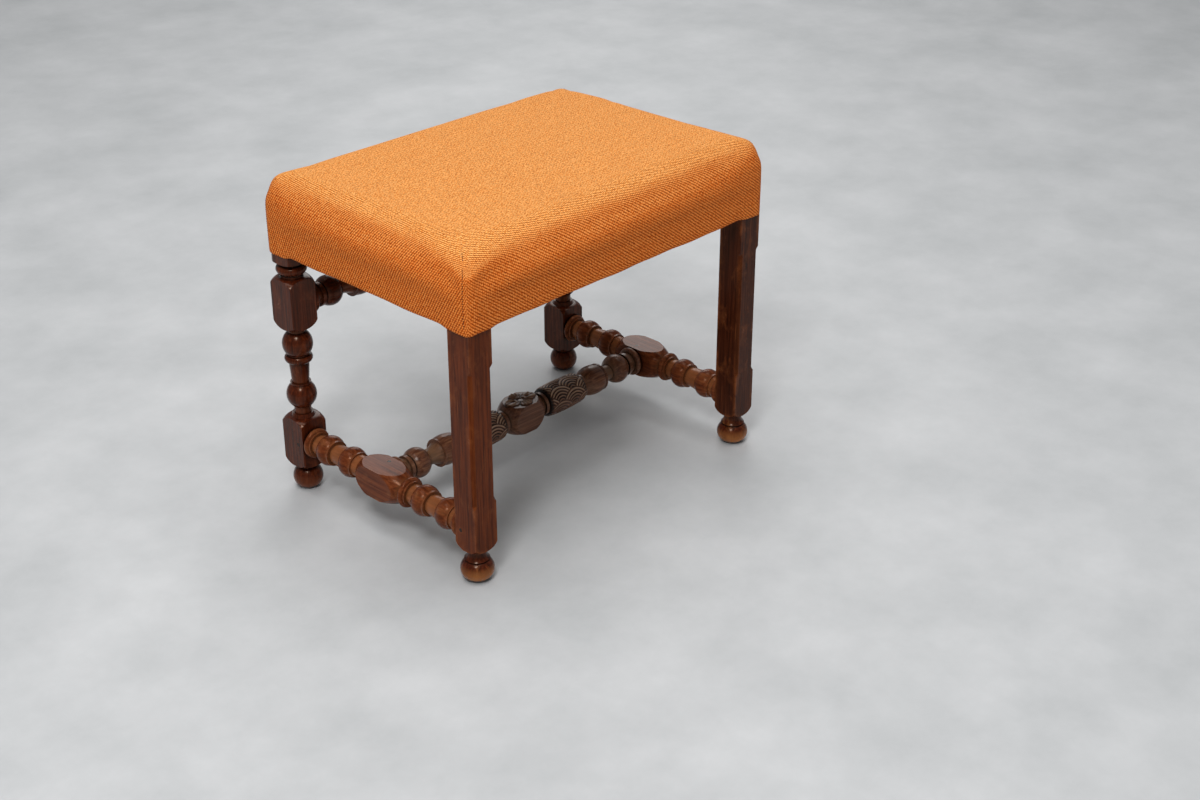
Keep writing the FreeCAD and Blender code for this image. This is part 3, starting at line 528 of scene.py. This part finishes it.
def orange_twill():
    """Twill that follows the flat cloth's UV map: ribs and pits, then fibre, flecks and long slubs."""
    material, tree, shader, _ = finish_of("orange_twill")
    cloth = add(tree, "ShaderNodeUVMap", uv_map="cloth")["UV"]
    parts = add(tree, "ShaderNodeSeparateXYZ", {"Vector": cloth})
    uneven = streaks(tree, cloth, 0, *UNEVEN)
    wander = add(tree, "ShaderNodeMath", {0: uneven, 1: WANDER}, operation="MULTIPLY")["Value"]

    def ribs(way, pitch_mm):
        turns = math.pi / (pitch_mm * MM)
        turn = wander
        for axis, share in zip("XY", way):
            turn = add(tree, "ShaderNodeMath", {0: parts[axis], 1: share * turns, 2: turn},
                       operation="MULTIPLY_ADD")["Value"]
        wave = add(tree, "ShaderNodeMath", {0: turn}, operation="SINE")["Value"]
        return add(tree, "ShaderNodeMath", {0: wave}, operation="ABSOLUTE")["Value"]

    rib = ribs(RIB_WAY, RIB_MM)
    pit = add(tree, "ShaderNodeMath", {0: ribs(PIT_WAY, PIT_MM), 1: PIT_SHARE, 2: 1 - PIT_SHARE},
              operation="MULTIPLY_ADD")["Value"]
    raised = add(tree, "ShaderNodeMath", {0: rib, 1: pit}, operation="MULTIPLY")["Value"]
    thread = add(tree, "ShaderNodeMath", {0: raised, 1: THREAD_ROUND}, operation="POWER")["Value"]
    shade = add(tree, "ShaderNodeMath", {0: thread, 1: THREAD_SHARE, 2: SHADE_SHIFT},
                operation="MULTIPLY_ADD")["Value"]
    for streak, share in ((FIBRE, FIBRE_SHARE), (FLECK, FLECK_SHARE), (SLUB, SLUB_SHARE)):
        uneven_tone = streaks(tree, cloth, 0, *streak)
        shade = add(tree, "ShaderNodeMath", {0: uneven_tone, 1: share, 2: shade},
                    operation="MULTIPLY_ADD")["Value"]
    shaded_side = add(tree, "ShaderNodeValToRGB", {"Fac": shade}, SHADED_SIDE_ORANGE)["Color"]
    lit_top = add(tree, "ShaderNodeValToRGB", {"Fac": shade}, LIT_TOP_ORANGE)["Color"]
    # Painted light and shade: faces that look up take the paler orange, the sides the richer one.
    colour = add(tree, "ShaderNodeMixRGB", {"Fac": facing_up(tree, LIT_TOP_SPAN), "Color1": shaded_side,
                                            "Color2": lit_top})["Color"]
    relief = add(tree, "ShaderNodeBump", {"Height": thread, "Strength": THREAD_STRENGTH,
                                          "Distance": THREAD_DEEP})["Normal"]
    fill(tree, shader, {"Base Color": colour, "Normal": relief, **DULL_CLOTH})
    return material


SWELL_ROOM = 3 * MM          # the skin starts this much inside the CAD cover, because the cloth swells
SWELL = 2.5 * MM
SWELL_EDGE = 24
SWELL_FADE = 8
EDGE_ROUND = 24 * MM
CORNER_ROUND = 14 * MM
ROUND_RISE = 14 * MM         # the corners' radius grows to the edges' over this height
CROWN = 4.5 * MM
RISE = 7.5 * MM
TILT = 2.5 * MM              # the pad is fuller at the front right and back left corners
DROOP = 14 * MM              # the back right corner has sunk with use
DROOP_REACH = (5, 4)
FAR_DROOP = 5 * MM
FAR_REACH = 3
STEP = 7 * MM
HEM_TURN = 11 * MM
HEM_ROWS = 2
HEM_FALL = 40 * MM
HEM_SLACK = 2.2 * MM
HEM_WAVE = 0.5 * MM
LONG_WAVE = (41, 37)
SHORT_WAVE = (93, -71)
SHORT_SHARE = 0.7
SHORT_START = 1.3
LEG_DIP = 3.4 * MM
LEG_ROOM = 2 * MM
DIP_EASE = 5 * MM
CUT_EASE = 1 * MM
TINY = 1e-9
cover_low, cover_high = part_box("top_cover")
half_x = (cover_high[0] - cover_low[0]) / 2 - SWELL_ROOM
half_y = (cover_high[1] - cover_low[1]) / 2 - SWELL_ROOM
hem_z = cover_low[2]
edge_z = cover_high[2] - SWELL_ROOM
twill = orange_twill()
leg_boxes = [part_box(end + side) for end in ("front_leg_", "back_leg_") for side in ("left", "right")]
leg_top = leg_boxes[0][1][2]


def by_a_leg(x, y, room):
    """1 where a place on the hem is in front of a leg, easing to 0 within room of it."""
    best = 0.0
    for low, high in leg_boxes:
        away = max(low[0] - x, x - high[0], low[1] - y, y - high[1], 0.0)
        best = max(best, 1 - ease(away, LEG_ROOM, LEG_ROOM + room))
    return best


def inside(spot, margin, top):
    """Nearest place to spot that is margin inside the cover's sides and not above top."""
    return Vector((max(margin - half_x, min(half_x - margin, spot.x)),
                   max(margin - half_y, min(half_y - margin, spot.y)), min(top, spot.z)))


def cover_spot(flat):
    """Place of a point of the cover: a box with soft edges, crowned on top and slack at its hem."""
    radius = CORNER_ROUND + (EDGE_ROUND - CORNER_ROUND) * ease(flat.z, leg_top, leg_top + ROUND_RISE)
    core = inside(flat, radius, edge_z - EDGE_ROUND)
    out = flat - core
    spot = core + out.normalized() * radius if out.length > TINY else flat.copy()
    share_x, share_y = flat.x / half_x, flat.y / half_y
    down = ease(edge_z - flat.z, 0.0, edge_z - hem_z)
    bulge = SWELL * math.sin(math.pi * down)
    spot.x += bulge * math.copysign(abs(share_x) ** SWELL_EDGE, share_x) * (1 - share_y ** SWELL_FADE)
    spot.y += bulge * math.copysign(abs(share_y) ** SWELL_EDGE, share_y) * (1 - share_x ** SWELL_FADE)
    high = ease(spot.z, leg_top, edge_z)
    spot.z += CROWN * high * max(0.0, 1 - share_x ** 2) * max(0.0, 1 - share_y ** 2)
    spot.z += high * (RISE - TILT * share_x * share_y)
    spot.z -= high * DROOP * max(0.0, share_x) ** DROOP_REACH[0] * max(0.0, share_y) ** DROOP_REACH[1]
    spot.z -= high * FAR_DROOP * (max(0.0, -share_x) * max(0.0, -share_y)) ** FAR_REACH
    slack = (math.sin(flat.x * LONG_WAVE[0] + flat.y * LONG_WAVE[1])
             + SHORT_SHARE * math.sin(flat.x * SHORT_WAVE[0] + flat.y * SHORT_WAVE[1] + SHORT_START))
    fall = ease(-flat.z, -hem_z - HEM_FALL, -hem_z)
    spot.z -= fall * (LEG_DIP * by_a_leg(spot.x, spot.y, DIP_EASE) + HEM_SLACK + HEM_WAVE * slack)
    return spot


def cover_mesh():
    """Top, four sides and turned hem as one skin, with the flat cloth's places as its UV map."""
    nx, ny, nz = round(2 * half_x / STEP), round(2 * half_y / STEP), round((edge_z - hem_z) / STEP)
    work = bmesh.new()
    uv = work.loops.layers.uv.new("cloth")
    spots = {}

    def flat_of(i, j, k):
        return Vector((half_x * (2 * i / nx - 1), half_y * (2 * j / ny - 1),
                       edge_z + (hem_z - edge_z) * min(k, nz) / nz))

    def vertex(i, j, k):
        if (i, j, k) not in spots:
            spot = cover_spot(flat_of(i, j, k))
            if k > nz:
                spot = spot.lerp(inside(spot, HEM_TURN, spot.z), (k - nz) / HEM_ROWS)
            spots[(i, j, k)] = work.verts.new(spot)
        return spots[(i, j, k)]

    def quad(corners, side):
        if all(k >= nz for i, j, k in corners):
            middle = sum([vertex(*c).co for c in corners], Vector()) / 4
            if by_a_leg(middle.x, middle.y, CUT_EASE) > 0:
                return
        face = work.faces.new([vertex(*c) for c in corners])
        face.smooth = True
        for loop, (i, j, k) in zip(face.loops, corners):
            flat = flat_of(i, j, k)
            depth = (edge_z - hem_z) * k / nz
            loop[uv].uv = (flat.x + side[0] * depth, flat.y + side[1] * depth)

    for i in range(nx):
        for j in range(ny):
            quad([(i, j, 0), (i + 1, j, 0), (i + 1, j + 1, 0), (i, j + 1, 0)], (0, 0))
    for k in range(nz + HEM_ROWS):
        for i in range(nx):
            quad([(i, 0, k + 1), (i + 1, 0, k + 1), (i + 1, 0, k), (i, 0, k)], (0, -1))
            quad([(i + 1, ny, k + 1), (i, ny, k + 1), (i, ny, k), (i + 1, ny, k)], (0, 1))
        for j in range(ny):
            quad([(nx, j, k + 1), (nx, j + 1, k + 1), (nx, j + 1, k), (nx, j, k)], (1, 0))
            quad([(0, j + 1, k + 1), (0, j, k + 1), (0, j, k), (0, j + 1, k)], (-1, 0))
    loose = [v for v in work.verts if not v.link_faces]
    bmesh.ops.delete(work, geom=loose, context="VERTS")
    mesh = bpy.data.meshes.new("seat_cover")
    work.to_mesh(mesh)
    work.free()
    mesh.materials.append(twill)
    return mesh


seat_cover = bpy.data.objects.new("seat_cover", cover_mesh())
bpy.context.collection.objects.link(seat_cover)

HELD_DEEP = 30 * MM          # below the legs' tops by this much, the tacks and rails hold the cloth
PULL_QUALITY = 6
PULL_MASS = 0.4
PULL_PRESSURE = 1.5
PULL_FRAMES = 15
PUFF_MOST = 3 * MM
start = [v.co.copy() for v in seat_cover.data.vertices]
held = seat_cover.vertex_groups.new(name="held")
held.add([v.index for v in seat_cover.data.vertices if v.co.z < leg_top - HELD_DEEP], 1.0, "REPLACE")
pulled = seat_cover.modifiers.new("pulled_cloth", "CLOTH")
pulled.settings.vertex_group_mass = "held"
pulled.settings.quality = PULL_QUALITY
pulled.settings.mass = PULL_MASS
pulled.settings.use_pressure = True
pulled.settings.uniform_pressure_force = PULL_PRESSURE
pulled.settings.effector_weights.gravity = 0
for number in range(1, PULL_FRAMES + 1):
    scene.frame_set(number)
graph = bpy.context.evaluated_depsgraph_get()
stop = [v.co.copy() for v in seat_cover.evaluated_get(graph).data.vertices]
seat_cover.modifiers.remove(pulled)
scene.frame_set(1)
for vertex, before, after in zip(seat_cover.data.vertices, start, stop):
    step = after - before
    vertex.co = before + step * min(1.0, PUFF_MOST / max(step.length, TINY))


def settle(piece):
    """Turns a piece's modifiers into a plain mesh."""
    graph = bpy.context.evaluated_depsgraph_get()
    mesh = bpy.data.meshes.new_from_object(piece.evaluated_get(graph), depsgraph=graph)
    piece.modifiers.clear()
    piece.data = mesh
    mesh.polygons.foreach_set("use_smooth", [True] * len(mesh.polygons))


CLOTH_WALL = 1.5 * MM
wall = seat_cover.modifiers.new("cloth_wall", "SOLIDIFY")
wall.thickness = CLOTH_WALL
wall.offset = -1
soft = seat_cover.modifiers.new("cloth_soft", "SUBSURF")
soft.levels = soft.render_levels = 1
settle(seat_cover)
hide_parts("top_cover", "stuffing")
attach(seat_cover, "root")


# Stitches and tacks: dark thread sewn down the four corner seams, and iron tacks through the turned hem.
# Both are rows of small beads: stitches round and sunk, tack heads low and wide.

def bead_rows():
    """Tree that sets a bead on each point of a mesh: named inputs give its radius, shape and finish."""
    tree = bpy.data.node_groups.new("bead_rows", "GeometryNodeTree")
    face = tree.interface
    face.new_socket("Geometry", in_out="INPUT", socket_type="NodeSocketGeometry")
    sockets = {name: face.new_socket(name, in_out="INPUT", socket_type=kind).identifier
               for name, kind in (("Bead radius", "NodeSocketFloat"), ("Bead shape", "NodeSocketVector"),
                                  ("Bead finish", "NodeSocketMaterial"))}
    face.new_socket("Geometry", in_out="OUTPUT", socket_type="NodeSocketGeometry")
    given = add(tree, "NodeGroupInput")
    bead = add(tree, "GeometryNodeMeshIcoSphere", {"Radius": given["Bead radius"], "Subdivisions": 2})["Mesh"]
    rows = add(tree, "GeometryNodeInstanceOnPoints", {"Points": given["Geometry"], "Instance": bead,
                                                      "Scale": given["Bead shape"]})["Instances"]
    real = add(tree, "GeometryNodeRealizeInstances", {"Geometry": rows})["Geometry"]
    finish = add(tree, "GeometryNodeSetMaterial", {"Geometry": real, "Material": given["Bead finish"]})
    add(tree, "NodeGroupOutput", {"Geometry": finish["Geometry"]})
    return tree, sockets


bead_tree, bead_sockets = bead_rows()


def beads(name, points, radius, shape, material):
    """One piece with a bead on each point."""
    mesh = bpy.data.meshes.new(name)
    mesh.from_pydata(points, [], [])
    piece = bpy.data.objects.new(name, mesh)
    bpy.context.collection.objects.link(piece)
    rows = piece.modifiers.new("beads", "NODES")
    rows.node_group = bead_tree
    rows[bead_sockets["Bead radius"]] = radius
    rows[bead_sockets["Bead shape"]] = shape
    rows[bead_sockets["Bead finish"]] = material
    settle(piece)
    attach(piece, "root")


def flecked(name, axis, streak, stops, surface_values):
    """Plain finish with streaks of two tones."""
    material, tree, shader, place = finish_of(name)
    fleck = streaks(tree, place, axis, *streak)
    colour = add(tree, "ShaderNodeValToRGB", {"Fac": fleck}, stops)["Color"]
    fill(tree, shader, {"Base Color": colour, **surface_values})
    return material


thread_brown = flecked("thread_brown", 2, (0.8, 2.0, 2.0), [(0.3, "2E1404"), (0.7, "6A340E")],
                       {"Roughness": 0.9})
STITCH_PITCH = 3.2 * MM
STITCH_RADIUS = 0.85 * MM
STITCH_SUNK = 0.45           # of its radius
SEAM_INWARD = 26 * MM
SEAM_ABOVE = 4 * MM
SEAM_GAP = 2                 # stitches left out where the seam goes over the edge
SEAM_TOP = 6 * MM
SEAM_SHORT = 8 * MM
SEAM_SHIFT = 8 * MM          # the seam lies a little round the corner, on the short side
bpy.context.view_layer.update()
stitches = []
for sign_x in (-1, 1):
    for sign_y in (-1, 1):
        corner = Vector((sign_x * half_x, sign_y * (half_y - SEAM_SHIFT), edge_z))
        inward = Vector((-sign_x, -sign_y, 0)).normalized()
        run = [corner + inward * (SEAM_INWARD - n * STITCH_PITCH) + Vector((0, 0, SEAM_ABOVE))
               for n in range(int(SEAM_INWARD / STITCH_PITCH) - SEAM_GAP)]
        run += [Vector((corner.x, corner.y, edge_z - SEAM_TOP - n * STITCH_PITCH))
                for n in range(int((edge_z - hem_z - SEAM_SHORT) / STITCH_PITCH))]
        for spot in run:
            near, normal = seat_cover.closest_point_on_mesh(spot)[1:3]
            stitches.append(near - normal * STITCH_RADIUS * STITCH_SUNK)
beads("corner_stitches", stitches, STITCH_RADIUS, (1.0, 1.0, 1.0), thread_brown)

tack_iron = flecked("blued_tack_iron", 0, (2.5, 2.5, 3.0), [(0.4, "1A1A1E"), (0.7, "4A2C1C")],
                    {"Metallic": 1.0, "Roughness": 0.5})
TACK_PITCH = 26 * MM
TACK_RADIUS = 3.2 * MM
TACK_LOW = 0.3               # height of a head as a share of its width
TACK_INSET = 7 * MM
TACK_CLEAR = 55 * MM         # the legs stand within this distance of each corner
TACK_BELOW = 6 * MM
tacks = []
for way, half, across in ((0, half_x, half_y), (1, half_y, half_x)):
    count = int(2 * (half - TACK_CLEAR) / TACK_PITCH)
    for sign in (-1, 1):
        for n in range(count + 1):
            spot = [0.0, 0.0, hem_z - TACK_BELOW]
            spot[way] = (n - count / 2) * TACK_PITCH
            spot[1 - way] = sign * (across - TACK_INSET)
            near = seat_cover.closest_point_on_mesh(Vector(spot))[1]
            tacks.append((spot[0], spot[1], near.z))
beads("hem_tacks", tacks, TACK_RADIUS, (1.0, 1.0, TACK_LOW), tack_iron)


# Floor, light and camera: a pale plain floor, one broad soft light over the seat and two window lights.
# The camera stands out from the right back post and looks down on the seat.

FLOOR_REACH = 12
FLOOR_TONES = [(0.3, "AEB0B1"), (0.7, "C2C3C4")]
FLOOR_ROUGH = 0.55
CLOUD = {"Scale": 1 / (200 * MM), "Detail": 7.0, "Roughness": 0.65}
floor_paint, tree, shader, place = finish_of("pale_floor")
cloud = add(tree, "ShaderNodeTexNoise", {"Vector": place, **CLOUD})["Fac"]
tone = add(tree, "ShaderNodeValToRGB", {"Fac": cloud}, FLOOR_TONES)["Color"]
fill(tree, shader, {"Base Color": tone, "Roughness": FLOOR_ROUGH})
floor_mesh = bpy.data.meshes.new("floor")
floor_corners = [(x * FLOOR_REACH, y * FLOOR_REACH, 0) for x, y in ((-1, -1), (1, -1), (1, 1), (-1, 1))]
floor_mesh.from_pydata(floor_corners, [], [(0, 1, 2, 3)])
floor_mesh.materials.append(floor_paint)
floor = bpy.data.objects.new("floor", floor_mesh)
bpy.context.collection.objects.link(floor)

SKY = "F2F4F6"
SKY_STRENGTH = 0.28
world = bpy.data.worlds.new("studio")
world.use_nodes = True
sky = world.node_tree.nodes["Background"]
fill(world.node_tree, sky, {"Color": srgb(SKY), "Strength": SKY_STRENGTH})
scene.world = world

LAMP_AIM = Vector((0.0, 0.0, 0.25))


def lamp(name, spot, size, watts):
    """Round soft light that faces the stool."""
    light = bpy.data.lights.new(name, "AREA")
    light.shape = "DISK"
    light.size = size
    light.energy = watts
    holder = bpy.data.objects.new(name, light)
    holder.location = spot
    holder.rotation_euler = (LAMP_AIM - Vector(spot)).to_track_quat("-Z", "Y").to_euler()
    bpy.context.collection.objects.link(holder)


lamp("overhead_light", (0.0, -0.1, 4.2), 4.0, 138)
lamp("far_window", (-2.1, -2.0, 1.7), 1.8, 17)
lamp("near_window", (1.8, 1.2, 2.6), 0.85, 45)

FOCAL_PX = 1862.4
IMAGE_PX = 1200
SENSOR_WIDTH = 36
AIM = Vector((0.0694, 0.2119, 0.2))
AZIMUTH = math.radians(133.58)
ELEVATION = math.radians(27.6)
DISTANCE = 2.3605
lens = bpy.data.cameras.new("camera")
lens.sensor_width = SENSOR_WIDTH
lens.lens = FOCAL_PX * SENSOR_WIDTH / IMAGE_PX
back = Vector((math.sin(AZIMUTH) * math.cos(ELEVATION), -math.cos(AZIMUTH) * math.cos(ELEVATION),
               math.sin(ELEVATION)))
camera = bpy.data.objects.new("camera", lens)
camera.location = AIM + back * DISTANCE
camera.rotation_euler = (-back).to_track_quat("-Z", "Y").to_euler()
bpy.context.collection.objects.link(camera)
scene.camera = camera
